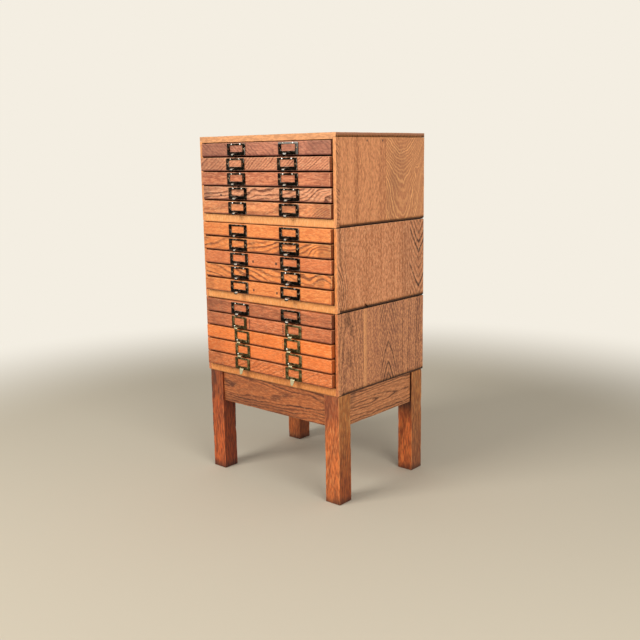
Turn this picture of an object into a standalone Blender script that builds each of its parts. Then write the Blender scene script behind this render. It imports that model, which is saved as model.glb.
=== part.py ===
# Oak stacking flat file: three cases of five shallow drawers on a stand with four legs.
# Metres, +Z up, front towards -Y, origin on the floor at the centre of the bounding box.

from math import cos, pi, radians, sin, sqrt

import bmesh
import bpy
from mathutils import Matrix, Vector

# Gap that two touching pieces keep, and how far a tool runs past the face it cuts or joins
fit_gap = 0.0003
overrun = 0.001

# Cases
case_names = ("lower_case", "middle_case", "upper_case")
drawers_per_case = 5
case_width = 0.504
case_depth = 0.386
side_thickness = 0.010
rail_height = 0.022
rail_depth = 0.020
rail_setback = 0.0004
case_floor_thickness = 0.008
case_floor_drop = 0.004
back_thickness = 0.006
back_rebate_share = 0.4
corner_chamfer = 0.003
shadow_groove_height = 0.0045
shadow_groove_depth = 0.0035
shadow_groove_stop = 0.008

# Top board, rabbeted so that the sides of the upper case lap up around it
top_board_thickness = 0.017
top_board_lap = 0.0055
top_board_round = 0.0012

# Drawers
drawer_front_height = 0.0361
drawer_front_gap = 0.0035
drawer_front_side_gap = 0.003
drawer_front_thickness = 0.018
drawer_front_round = 0.0013
tray_side_gap = 0.004
tray_foot = 0.002
tray_top_drop = 0.0041
tray_wall = 0.010
tray_floor_thickness = 0.004
tray_floor_raise = 0.002
tray_back_gap = 0.010
runner_height = 0.006
runner_reach = 0.009
runner_setback = 0.026
runner_side_gap = 0.0006
runner_under_gap = 0.0008
standing_proud = 0.009

# How far each front stands proud of its case, top drawer first, as a share of standing_proud
proud_shares = (0.55, 1.15, 0.95, 0.55, 0.90, 1.05, 1.15, 0.90, 0.75, 1.10, 1.20, 1.30, 1.40, 1.40, 1.40)

# Pulls: a card frame with a finger tongue. The dark ones are wide and the brass ones narrow
pull_thickness = 0.0024
pull_edge = 0.0005
pull_corner_radius = 0.0025
card_slot_depth = 0.0010
card_slot_margin = 0.0025
dark_pull_width = 0.0705
dark_pull_margin = 0.0018
dark_side_bar = 0.01025
dark_top_bar = 0.0050
dark_bottom_bar = 0.0095
brass_pull_width = 0.0585
brass_pull_margin = 0.00105
brass_side_bar = 0.0095
brass_top_bar = 0.0050
brass_bottom_bar = 0.0090

# Tongues: out of the lower bar, round a bend and down to a tip with round corners
tongue_thickness = 0.0014
tongue_width = 0.0160
tongue_root_height = 0.0048
tongue_root_share = 0.4
tongue_tip_radius = 0.0030
hooked_straight = 0.0089
hooked_radius = 0.0050
hooked_turn = radians(90)
hooked_tail = 0.0020
hanging_straight = 0.0003
hanging_radius = 0.0040
hanging_turn = radians(80)
hanging_tail = 0.0150

# Pull centres to the left and right of the middle of a front, as shares of the front's width
usual_place_shares = (-0.203, 0.203)
moved_place_shares = {12: (-0.211, 0.224), 13: (-0.190, 0.214), 14: (-0.187, 0.224), 15: (-0.192, 0.221)}
first_brass_drawer = 12

# Stand
stand_height = 0.302
stand_inset = 0.003
stand_back_inset = 0.001
leg_width = 0.050
leg_round = 0.0015
apron_height = 0.090
apron_thickness = 0.020
apron_recess = 0.006
tenon_length = 0.018
tenon_thickness = 0.008
tenon_shoulder = 0.010

# Sizes that follow from the ones above
drawer_count = drawers_per_case * len(case_names)
drawer_pitch = drawer_front_height + drawer_front_gap
case_height = rail_height + drawers_per_case * drawer_pitch
case_inner_half = case_width / 2 - side_thickness
back_rebate = side_thickness * back_rebate_share
drawer_front_width = 2 * (case_inner_half - drawer_front_side_gap)
tray_half_width = case_inner_half - tray_side_gap
tray_height = drawer_front_height - tray_foot - tray_top_drop
tray_depth = case_depth - back_thickness - tray_back_gap
tray_bottom = -drawer_front_height / 2 + tray_foot
runner_middle = tray_bottom + tray_height / 2
hooked_reach = pull_thickness + hooked_straight + hooked_radius * sin(hooked_turn) + tongue_thickness / 2
front_reach = standing_proud * max(proud_shares) + fit_gap + hooked_reach
case_front_y = (front_reach - case_depth) / 2
case_back_y = case_front_y + case_depth


def clear_scene():
    for thing in list(bpy.data.objects):
        bpy.data.objects.remove(thing, do_unlink=True)


def new_collection(name):
    collection = bpy.data.collections.new(name)
    bpy.context.scene.collection.children.link(collection)
    return collection


def make_material(name, colour, roughness, metallic):
    material = bpy.data.materials.new(name)
    material.use_nodes = True
    shader = material.node_tree.nodes["Principled BSDF"]
    shader.inputs["Base Color"].default_value = (*colour, 1)
    shader.inputs["Roughness"].default_value = roughness
    shader.inputs["Metallic"].default_value = metallic
    return material


def box(name, low, high, collection):
    """An axis-aligned block between two corners, with its origin at the world's origin."""
    low = Vector(low)
    high = Vector(high)
    shape = bmesh.new()
    bmesh.ops.create_cube(shape, size=1)
    scale = Matrix.Diagonal((*(high - low), 1))
    bmesh.ops.transform(shape, matrix=Matrix.Translation((low + high) / 2) @ scale, verts=shape.verts)
    mesh = bpy.data.meshes.new(name)
    shape.to_mesh(mesh)
    shape.free()
    block = bpy.data.objects.new(name, mesh)
    collection.objects.link(block)
    return block


def combine(target, tool, operation):
    """Joins a tool to a piece, or cuts it out, with a live Boolean. The tool moves with the piece."""
    tool.hide_render = True
    tool.display_type = "WIRE"
    tool.parent = target
    modifier = target.modifiers.new(tool.name, "BOOLEAN")
    modifier.operation = operation
    modifier.solver = "EXACT"
    modifier.object = tool


def round_edges(piece, width, segments):
    modifier = piece.modifiers.new("round_edges", "BEVEL")
    modifier.width = width
    modifier.segments = segments
    modifier.limit_method = "ANGLE"


def finished_mesh(piece, name):
    """The mesh of a piece with its modifiers carried out, for copies to share."""
    graph = bpy.context.evaluated_depsgraph_get()
    mesh = bpy.data.meshes.new_from_object(piece.evaluated_get(graph))
    mesh.name = name
    return mesh


def remove_with_tools(piece):
    for tool in list(piece.children):
        bpy.data.objects.remove(tool, do_unlink=True)
    bpy.data.objects.remove(piece, do_unlink=True)


def place(name, mesh, location, collection, parent=None):
    piece = bpy.data.objects.new(name, mesh)
    piece.location = location
    piece.parent = parent
    collection.objects.link(piece)
    return piece


# Stand: four square legs and four aprons tenoned into them

def leg_origins():
    """Name and outer corner of each leg, and the way from that corner to the middle of the stand."""
    side = case_width / 2 - stand_inset
    front = case_front_y + stand_inset
    back = case_back_y - stand_back_inset
    return {
        "front_left": (-side, front, 1, 1),
        "front_right": (side, front, -1, 1),
        "back_left": (-side, back, 1, -1),
        "back_right": (side, back, -1, -1),
    }


def span(start, length, way):
    """Low and high end of a stretch that starts at a place and runs a length one way or the other."""
    return sorted((start, start + way * length))


def make_leg(name, corner, parts, cutters, material):
    x, y, way_x, way_y = corner
    x_low, x_high = span(x, leg_width, way_x)
    y_low, y_high = span(y, leg_width, way_y)
    top = stand_height - fit_gap
    leg = box("leg_" + name, (x_low, y_low, 0), (x_high, y_high, top), parts)
    leg.data.materials.append(material)
    round_edges(leg, leg_round, 1)
    mortise_low = top - apron_height + tenon_shoulder - fit_gap
    mortise_high = top - tenon_shoulder + fit_gap
    middle = apron_recess + apron_thickness / 2
    half = tenon_thickness / 2 + fit_gap
    deep = tenon_length + 2 * fit_gap
    x_in = span(x + way_x * (leg_width + overrun), deep + overrun, -way_x)
    y_in = span(y + way_y * (leg_width + overrun), deep + overrun, -way_y)
    across_x = span(x + way_x * (middle - half), 2 * half, way_x)
    across_y = span(y + way_y * (middle - half), 2 * half, way_y)
    for title, x_pair, y_pair in (("front", x_in, across_y), ("side", across_x, y_in)):
        low = (x_pair[0], y_pair[0], mortise_low)
        high = (x_pair[1], y_pair[1], mortise_high)
        cutter = box("mortise_" + title + "_" + name, low, high, cutters)
        combine(leg, cutter, "DIFFERENCE")


def make_apron(name, low, high, along, parts, cutters, material):
    """A board between two legs, with a tenon on each end. Along is 0 for X and 1 for Y."""
    apron = box("apron_" + name, low, high, parts)
    apron.data.materials.append(material)
    round_edges(apron, leg_round, 1)
    across = 1 - along
    middle = (low[across] + high[across]) / 2
    for end, outer, inner in (("start", low[along] - tenon_length, low[along] + tenon_length),
                              ("end", high[along] - tenon_length, high[along] + tenon_length)):
        tenon_low = [0, 0, low[2] + tenon_shoulder]
        tenon_high = [0, 0, high[2] - tenon_shoulder]
        tenon_low[along], tenon_high[along] = outer, inner
        tenon_low[across] = middle - tenon_thickness / 2
        tenon_high[across] = middle + tenon_thickness / 2
        tenon = box("tenon_" + end + "_" + name, tenon_low, tenon_high, cutters)
        combine(apron, tenon, "UNION")


def make_stand(parts, cutters, material):
    corners = leg_origins()
    for name, corner in corners.items():
        make_leg(name, corner, parts, cutters, material)
    top = stand_height - fit_gap
    bottom = top - apron_height
    left = corners["front_left"][0]
    front = corners["front_left"][1]
    right = corners["back_right"][0]
    back = corners["back_right"][1]
    past_leg = leg_width + fit_gap
    past_board = apron_recess + apron_thickness
    for name, y_pair in (("front", (front + apron_recess, front + past_board)),
                         ("back", (back - past_board, back - apron_recess))):
        low = (left + past_leg, y_pair[0], bottom)
        high = (right - past_leg, y_pair[1], top)
        make_apron(name, low, high, 0, parts, cutters, material)
    for name, x_pair in (("left", (left + apron_recess, left + past_board)),
                         ("right", (right - past_board, right - apron_recess))):
        low = (x_pair[0], front + past_leg, bottom)
        high = (x_pair[1], back - past_leg, top)
        make_apron(name, low, high, 1, parts, cutters, material)


# Cases: two sides, a front rail, a floor and ten drawer runners glued up as one carcass

def make_carcass(name, base, lap, parts, cutters, material):
    """One carcass standing at a height. Lap is how far its sides rise past the drawers."""
    front = case_front_y
    back = case_back_y
    top = base + case_height + lap - fit_gap
    half = case_width / 2
    inner = case_inner_half
    stop = back - back_thickness - fit_gap
    carcass = box(name, (-half, front, base), (-inner, back, top), parts)
    carcass.data.materials.append(material)
    far_side = box(name + "_far_side", (inner, front, base), (half, back, top), cutters)
    rail = box(name + "_rail", (-inner - overrun, front + rail_setback, base),
               (inner + overrun, front + rail_depth, base + rail_height), cutters)
    floor_top = base + rail_height - case_floor_drop
    floor_low = floor_top - case_floor_thickness
    case_floor = box(name + "_floor", (-inner - overrun, front + rail_depth - overrun, floor_low),
                     (inner + overrun, stop, floor_top), cutters)
    for tool in (rail, case_floor, far_side):
        combine(carcass, tool, "UNION")
    for row in range(drawers_per_case):
        middle = base + rail_height + (row + 0.5) * drawer_pitch + runner_middle
        for title, way in (("left", -1), ("right", 1)):
            x_low, x_high = span(way * (inner + overrun), runner_reach + overrun, -way)
            runner = box("%s_runner_%s_%d" % (name, title, row),
                         (x_low, front + runner_setback, middle - runner_height / 2),
                         (x_high, stop, middle + runner_height / 2), cutters)
            combine(carcass, runner, "UNION")
    for title, way in (("left", -1), ("right", 1)):
        x_low, x_high = span(way * (inner + back_rebate), back_rebate + overrun, -way)
        rebate = box("%s_rebate_%s" % (name, title), (x_low, back - back_thickness - fit_gap, base - overrun),
                     (x_high, back + overrun, top + overrun), cutters)
        combine(carcass, rebate, "DIFFERENCE")
        x_low, x_high = span(way * (half - shadow_groove_depth), shadow_groove_depth + overrun, way)
        groove = box("%s_groove_%s" % (name, title), (x_low, front + shadow_groove_stop, base - overrun),
                     (x_high, back + overrun, base + shadow_groove_height), cutters)
        combine(carcass, groove, "DIFFERENCE")
        combine(carcass, corner_cutter(name, title, way, base, cutters), "DIFFERENCE")


def corner_cutter(name, title, way, base, cutters):
    """A block turned by 45 degrees that takes the lower outer corner off the front of a side."""
    reach = corner_chamfer + overrun
    cutter = box("%s_corner_%s" % (name, title), (-reach, -overrun, -reach),
                 (reach, shadow_groove_stop, reach), cutters)
    turn = Matrix.Rotation(radians(45), 4, "Y")
    drop = reach / cos(radians(45)) - corner_chamfer / 2
    spot = Vector((way * (case_width / 2 + drop / 2), case_front_y, base - drop / 2))
    cutter.data.transform(Matrix.Translation(spot) @ turn)
    return cutter


def make_case_back(name, base, parts, material):
    half = case_inner_half + back_rebate - fit_gap
    low = (-half, case_back_y - back_thickness, base)
    high = (half, case_back_y, base + case_height - fit_gap)
    panel = box(name + "_back", low, high, parts)
    panel.data.materials.append(material)


def make_top_board(parts, cutters, material):
    base = stand_height + len(case_names) * case_height
    half = case_width / 2
    top = base + top_board_thickness
    board = box("top_board", (-half, case_front_y, base), (half, case_back_y, top), parts)
    board.data.materials.append(material)
    round_edges(board, top_board_round, 2)
    for title, way in (("left", -1), ("right", 1)):
        x_low, x_high = span(way * (half + overrun), side_thickness + fit_gap + overrun, -way)
        rabbet = box("top_rabbet_" + title, (x_low, case_front_y - overrun, base - overrun),
                     (x_high, case_back_y + overrun, base + top_board_lap), cutters)
        combine(board, rabbet, "DIFFERENCE")


# Drawers: a thick front on a shallow grooved tray. The origin is at the middle of the front's face

def make_drawer_mesh(cutters, material):
    half_height = drawer_front_height / 2
    half_width = drawer_front_width / 2
    drawer = box("drawer", (-half_width, 0, -half_height),
                 (half_width, drawer_front_thickness, half_height), cutters)
    drawer.data.materials.append(material)
    round_edges(drawer, drawer_front_round, 2)
    tray_top = tray_bottom + tray_height
    tray = box("tray", (-tray_half_width, drawer_front_thickness - overrun, tray_bottom),
               (tray_half_width, tray_depth, tray_top), cutters)
    combine(drawer, tray, "UNION")
    inner = tray_half_width - tray_wall
    hollow_low = tray_bottom + tray_floor_raise + tray_floor_thickness
    hollow = box("hollow", (-inner, drawer_front_thickness, hollow_low),
                 (inner, tray_depth - tray_wall, tray_top + overrun), cutters)
    combine(drawer, hollow, "DIFFERENCE")
    under = box("under", (-inner, drawer_front_thickness + tray_wall, tray_bottom - overrun),
                (inner, tray_depth - tray_wall, tray_bottom + tray_floor_raise), cutters)
    combine(drawer, under, "DIFFERENCE")
    groove_low = runner_middle - runner_height / 2 - runner_under_gap
    groove_high = runner_middle + runner_height / 2 + fit_gap
    groove_floor = case_inner_half - runner_reach - runner_side_gap
    for title, way in (("left", -1), ("right", 1)):
        x_low, x_high = span(way * groove_floor, tray_half_width - groove_floor + overrun, way)
        groove = box("groove_" + title, (x_low, drawer_front_thickness, groove_low),
                     (x_high, tray_depth + overrun, groove_high), cutters)
        combine(drawer, groove, "DIFFERENCE")
    mesh = finished_mesh(drawer, "drawer")
    remove_with_tools(drawer)
    return mesh


# Pulls: a stamped card frame, open at the top for the card, with a finger tongue at its lower edge.
# The origin is at the middle of the frame's back, which lies on the drawer's face

def rounded_outline(width, height, radius, steps):
    """Points of a rectangle with round corners, anticlockwise."""
    points = []
    for corner in range(4):
        middle_x = (width / 2 - radius) * (1 if corner in (0, 3) else -1)
        middle_y = (height / 2 - radius) * (1 if corner in (0, 1) else -1)
        for step in range(steps + 1):
            angle = pi / 2 * (corner + step / steps)
            points.append((middle_x + radius * cos(angle), middle_y + radius * sin(angle)))
    return points


def make_plate(width, height, window_width, window_low, window_high, cutters):
    """The flat frame, from a filled 2D curve, stood up so that it faces -Y with its back at Y = 0."""
    curve = bpy.data.curves.new("plate", "CURVE")
    curve.dimensions = "2D"
    curve.fill_mode = "BOTH"
    curve.extrude = pull_thickness / 2 - pull_edge
    curve.bevel_depth = pull_edge
    curve.bevel_resolution = 0
    curve.offset = -pull_edge
    half = window_width / 2
    window = ((-half, window_low), (-half, window_high), (half, window_high), (half, window_low))
    for outline in (rounded_outline(width, height, pull_corner_radius, 3), window):
        spline = curve.splines.new("POLY")
        spline.points.add(len(outline) - 1)
        for point, (x, y) in zip(spline.points, outline):
            point.co = (x, y, 0, 1)
        spline.use_cyclic_u = True
    flat = bpy.data.objects.new("plate_curve", curve)
    cutters.objects.link(flat)
    mesh = finished_mesh(flat, "plate")
    bpy.data.objects.remove(flat, do_unlink=True)
    stand_up = Matrix.Translation((0, -pull_thickness / 2, 0)) @ Matrix.Rotation(radians(90), 4, "X")
    shape = bmesh.new()
    shape.from_mesh(mesh)
    bmesh.ops.remove_doubles(shape, verts=shape.verts, dist=pull_edge * 0.1)
    bmesh.ops.transform(shape, matrix=stand_up, verts=shape.verts)
    bmesh.ops.recalc_face_normals(shape, faces=shape.faces)
    shape.to_mesh(mesh)
    shape.free()
    plate = bpy.data.objects.new("plate", mesh)
    cutters.objects.link(plate)
    return plate


def tongue_stations(root, straight, radius, turn, tail):
    """Side view of a tongue: how far out, how high and how far along it each station lies."""
    start = pull_thickness * tongue_root_share
    bend = pull_thickness + straight
    stations = [(start, root, 0)]
    steps = 6
    for step in range(steps + 1):
        angle = turn * step / steps
        stations.append((bend + radius * sin(angle), root - radius * (1 - cos(angle)),
                         bend - start + radius * angle))
    out, height, along = stations[-1]
    tips = 2
    for step in range(1, tips + 1):
        run = tail * step / tips
        stations.append((out + run * cos(turn), height - run * sin(turn), along + run))
    return stations


def tongue_half_width(left_over):
    """Half the width of a tongue at a distance from its tip, whose corners are round."""
    corner = max(0, tongue_tip_radius - left_over)
    inset = tongue_tip_radius - sqrt(tongue_tip_radius ** 2 - corner ** 2)
    return tongue_width / 2 - inset


def make_tongue(stations, cutters):
    """A strip of sheet metal along its stations, thickened to both sides."""
    length = stations[-1][2]
    shape = bmesh.new()
    rows = []
    for out, height, along in stations:
        half = tongue_half_width(length - along)
        rows.append([shape.verts.new((x, -out, height)) for x in (-half, half)])
    for near, far in zip(rows, rows[1:]):
        shape.faces.new((near[0], near[1], far[1], far[0]))
    mesh = bpy.data.meshes.new("tongue")
    shape.to_mesh(mesh)
    shape.free()
    tongue = bpy.data.objects.new("tongue", mesh)
    cutters.objects.link(tongue)
    thicken = tongue.modifiers.new("thicken", "SOLIDIFY")
    thicken.thickness = tongue_thickness
    thicken.offset = 0
    thicken.use_even_offset = True
    return tongue


def make_pull_mesh(name, frame, bend, cutters, material):
    """One pull, from the width, margin and bars of its frame and the bend of its tongue."""
    width, margin, side_bar, top_bar, bottom_bar = frame
    height = drawer_front_height - 2 * margin
    window_width = width - 2 * side_bar
    window_low = bottom_bar - height / 2
    window_high = height / 2 - top_bar
    plate = make_plate(width, height, window_width, window_low, window_high, cutters)
    plate.data.materials.append(material)
    slot_half = window_width / 2 + card_slot_margin
    slot = box("card_slot", (-slot_half, -card_slot_depth, window_low - card_slot_margin),
               (slot_half, overrun, height / 2 + overrun), cutters)
    combine(plate, slot, "DIFFERENCE")
    tongue = make_tongue(tongue_stations(tongue_root_height - height / 2, *bend), cutters)
    combine(plate, tongue, "UNION")
    mesh = finished_mesh(plate, name)
    remove_with_tools(plate)
    return mesh


def make_drawers(parts, cutters, wood, bronze, brass):
    drawer_mesh = make_drawer_mesh(cutters, wood)
    dark_frame = (dark_pull_width, dark_pull_margin, dark_side_bar, dark_top_bar, dark_bottom_bar)
    brass_frame = (brass_pull_width, brass_pull_margin, brass_side_bar, brass_top_bar, brass_bottom_bar)
    hooked = (hooked_straight, hooked_radius, hooked_turn, hooked_tail)
    hanging = (hanging_straight, hanging_radius, hanging_turn, hanging_tail)
    dark_mesh = make_pull_mesh("dark_pull", dark_frame, hooked, cutters, bronze)
    brass_mesh = make_pull_mesh("brass_pull", brass_frame, hooked, cutters, brass)
    bent_mesh = make_pull_mesh("bent_pull", brass_frame, hanging, cutters, brass)
    stack_top = stand_height + len(case_names) * case_height
    for number in range(1, drawer_count + 1):
        name = "drawer_%02d" % number
        case_row, row = divmod(number - 1, drawers_per_case)
        height = stack_top - case_row * case_height - (row + 0.5) * drawer_pitch
        face = case_front_y - standing_proud * proud_shares[number - 1]
        drawer = place(name, drawer_mesh, (0, face, height), parts)
        pull_mesh = dark_mesh if number < first_brass_drawer else brass_mesh
        if number == drawer_count:
            pull_mesh = bent_mesh
        places = moved_place_shares.get(number, usual_place_shares)
        for side, share in zip(("left", "right"), places):
            spot = (share * drawer_front_width, -fit_gap, 0)
            place(name + "_pull_" + side, pull_mesh, spot, parts, drawer)


def main():
    clear_scene()
    parts = new_collection("flat_file_cabinet")
    cutters = new_collection("cutters")
    stand_oak = make_material("stand_oak", (0.33, 0.10, 0.035), 0.5, 0)
    case_oak = make_material("case_oak", (0.52, 0.24, 0.11), 0.45, 0)
    top_oak = make_material("top_oak", (0.70, 0.36, 0.14), 0.45, 0)
    back_oak = make_material("back_oak", (0.36, 0.17, 0.08), 0.6, 0)
    front_oak = make_material("front_oak", (0.60, 0.22, 0.08), 0.4, 0)
    bronze = make_material("dark_bronze", (0.045, 0.035, 0.025), 0.4, 1)
    brass = make_material("aged_brass", (0.30, 0.22, 0.09), 0.4, 1)
    make_stand(parts, cutters, stand_oak)
    for row, name in enumerate(case_names):
        base = stand_height + row * case_height
        lap = top_board_lap if row == len(case_names) - 1 else 0
        make_carcass(name, base, lap, parts, cutters, case_oak)
        make_case_back(name, base, parts, back_oak)
    make_top_board(parts, cutters, top_oak)
    make_drawers(parts, cutters, front_oak, bronze, brass)


main()
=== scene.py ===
# An oak stacking flat file with fifteen shallow drawers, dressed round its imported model.
# The sections follow the way the cabinet goes together: stand, cases, drawers, pulls.

from math import cos, pi, radians, sin

import bmesh
import bpy
from mathutils import Matrix, Vector, noise


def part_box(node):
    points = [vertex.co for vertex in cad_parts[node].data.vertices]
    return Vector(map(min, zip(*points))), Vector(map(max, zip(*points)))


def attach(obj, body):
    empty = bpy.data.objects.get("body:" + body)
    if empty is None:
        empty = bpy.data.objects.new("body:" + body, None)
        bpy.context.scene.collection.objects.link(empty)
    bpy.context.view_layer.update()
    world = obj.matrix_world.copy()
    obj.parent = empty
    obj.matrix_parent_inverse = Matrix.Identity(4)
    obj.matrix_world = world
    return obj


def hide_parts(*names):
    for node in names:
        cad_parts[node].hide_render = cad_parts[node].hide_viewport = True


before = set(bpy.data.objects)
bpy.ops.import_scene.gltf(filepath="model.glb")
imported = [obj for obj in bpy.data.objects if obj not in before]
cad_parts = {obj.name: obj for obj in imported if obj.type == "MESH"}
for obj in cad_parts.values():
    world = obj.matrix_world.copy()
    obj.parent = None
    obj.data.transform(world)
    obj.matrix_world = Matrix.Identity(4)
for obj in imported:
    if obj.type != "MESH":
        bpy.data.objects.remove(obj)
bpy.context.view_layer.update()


# Legs
# Four square posts of plain-sawn red oak, stained a deep red brown and oiled. Their arrises are worn round,
# and the ends by the floor are scuffed and dark. They are mortised for the aprons, which hides the joints.

MM = 0.001


def linear(colour):
    """A hex colour such as 'c08050' as the linear red, green, blue and alpha that Blender wants."""
    shares = [int(colour[i:i + 2], 16) / 255 for i in (0, 2, 4)]
    return [s / 12.92 if s <= 0.04045 else ((s + 0.055) / 1.055) ** 2.4 for s in shares] + [1.0]


SMOOTH = {"interpolation_type": "SMOOTHSTEP"}


def add(tree, kind, inputs=(), output=0, **settings):
    """Adds a shader node with its settings, fills or links its inputs, which come in order or by number or name, and
    gives the output asked for."""
    node = tree.nodes.new("ShaderNode" + kind)
    for key, value in settings.items():
        setattr(node, key, value)
    for key, value in inputs.items() if isinstance(inputs, dict) else enumerate(inputs):
        if isinstance(value, bpy.types.NodeSocket):
            tree.links.new(value, node.inputs[key])
        else:
            node.inputs[key].default_value = value
    return node.outputs[output]


def mesh_of(name, shape, *materials):
    """Turns a finished shape into a mesh with its materials."""
    mesh = bpy.data.meshes.new(name)
    shape.to_mesh(mesh)
    shape.free()
    for material in materials:
        mesh.materials.append(material)
    return mesh


def placed(name, data, spot=(0, 0, 0)):
    """Puts a mesh, lamp or camera into the scene at a spot."""
    thing = bpy.data.objects.new(name, data)
    thing.location = spot
    bpy.context.scene.collection.objects.link(thing)
    return thing


def worn_in(shape, half, reach, depth, seed):
    """Rubs the arrises of a board back by a little more in some places than in others: softly over lumps of some
    36 mm, and more over knocks of 11 mm."""
    for vert in shape.verts:
        gaps = sorted((half[axis] - abs(vert.co[axis]), axis) for axis in range(3))
        if gaps[1][0] > reach:
            continue
        rub = max(0, noise.noise(vert.co * 28 + Vector((seed, 0, 0))) + 0.15)
        knock = max(0, noise.noise(vert.co * 90 + Vector((0, seed, 0))) - 0.25) * 2
        for _, axis in gaps[:2]:
            vert.co[axis] -= depth * (rub + knock) * (1 if vert.co[axis] > 0 else -1)


def board(name, low, high, body, material, arris=1.2 * MM, worn=0.5 * MM, seed=0):
    """A planed board between two corners, with round and slightly worn arrises, riding on a body."""
    low = Vector(low)
    high = Vector(high)
    size = high - low
    shape = bmesh.new()
    bmesh.ops.create_cube(shape, size=1, matrix=Matrix.Diagonal((*size, 1)))
    # Its long sides get an edge every 14 mm, so that the wear can wander
    for axis in range(3):
        steps = int(size[axis] / (14 * MM)) if size[axis] > 60 * MM else 1
        normal = [1 if i == axis else 0 for i in range(3)]
        for step in range(1, steps):
            spot = [size[axis] * (step / steps - 0.5) if i == axis else 0 for i in range(3)]
            geometry = shape.verts[:] + shape.edges[:] + shape.faces[:]
            bmesh.ops.bisect_plane(shape, geom=geometry, plane_co=spot, plane_no=normal)
    sharp = [edge for edge in shape.edges if edge.calc_face_angle(0) > 1]
    bmesh.ops.bevel(shape, geom=sharp, offset=arris, segments=3, profile=0.5, affect="EDGES")
    worn_in(shape, size / 2, arris * 1.1, worn, seed)
    mesh = mesh_of(name, shape, material)
    mesh.shade_smooth()
    piece = placed(name, mesh, (low + high) / 2)
    piece.modifiers.new("even_shading", "WEIGHTED_NORMAL").keep_sharp = True
    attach(piece, body)
    return piece


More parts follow.
